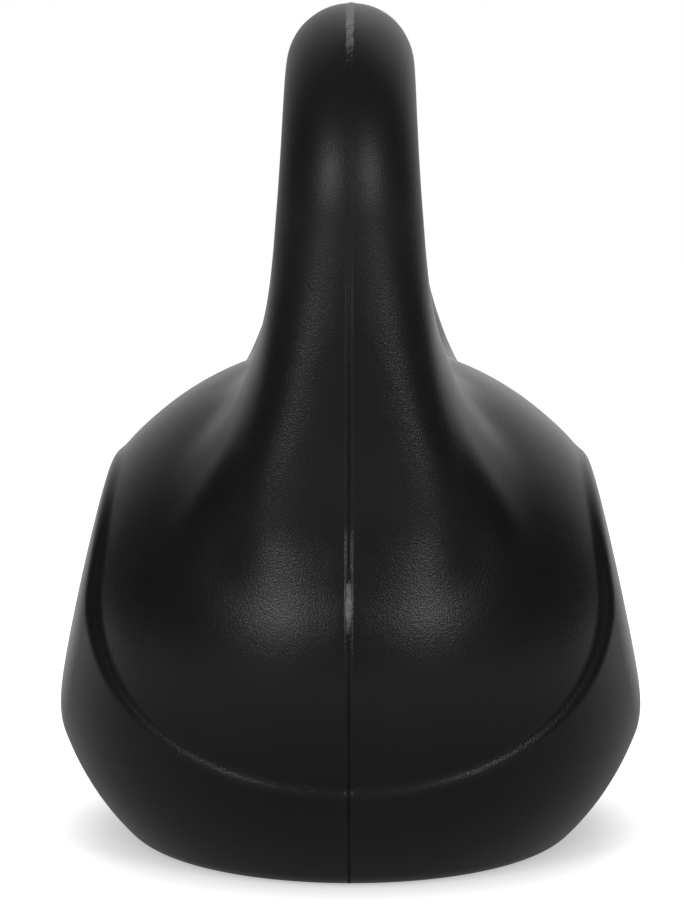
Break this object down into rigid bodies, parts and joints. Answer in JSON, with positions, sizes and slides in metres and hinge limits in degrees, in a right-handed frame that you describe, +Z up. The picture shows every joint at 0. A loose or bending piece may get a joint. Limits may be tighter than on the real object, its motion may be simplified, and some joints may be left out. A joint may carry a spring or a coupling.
{
  "type": "kettlebell",
  "caption": "Cement-filled moulded plastic kettlebell: ball in a panelled cradle with a flat base, arched handle with a hand window, and a welded seam down its sides.",
  "frame": {"origin": "middle of the flat base, on the ground", "axes": "+Z up, X along the grip bar, front panel faces -Y; the moulding seam lies in the plane y = 0"},
  "size_m": [0.1754, 0.173, 0.2457],
  "materials": {
    "shell": "matte, fine pebbled mould texture",
    "seam": "trimmed weld, slightly whitened",
    "cement": "cast mortar",
    "plug": "satin moulded"
  },
  "bodies": {
    "root": {"front_shell": "shell", "rear_shell": "shell", "outer_seam_weld": "seam", "window_seam_weld": "seam", "cement_core": "cement", "filler_plug": "plug"}
  },
  "joints": []
}
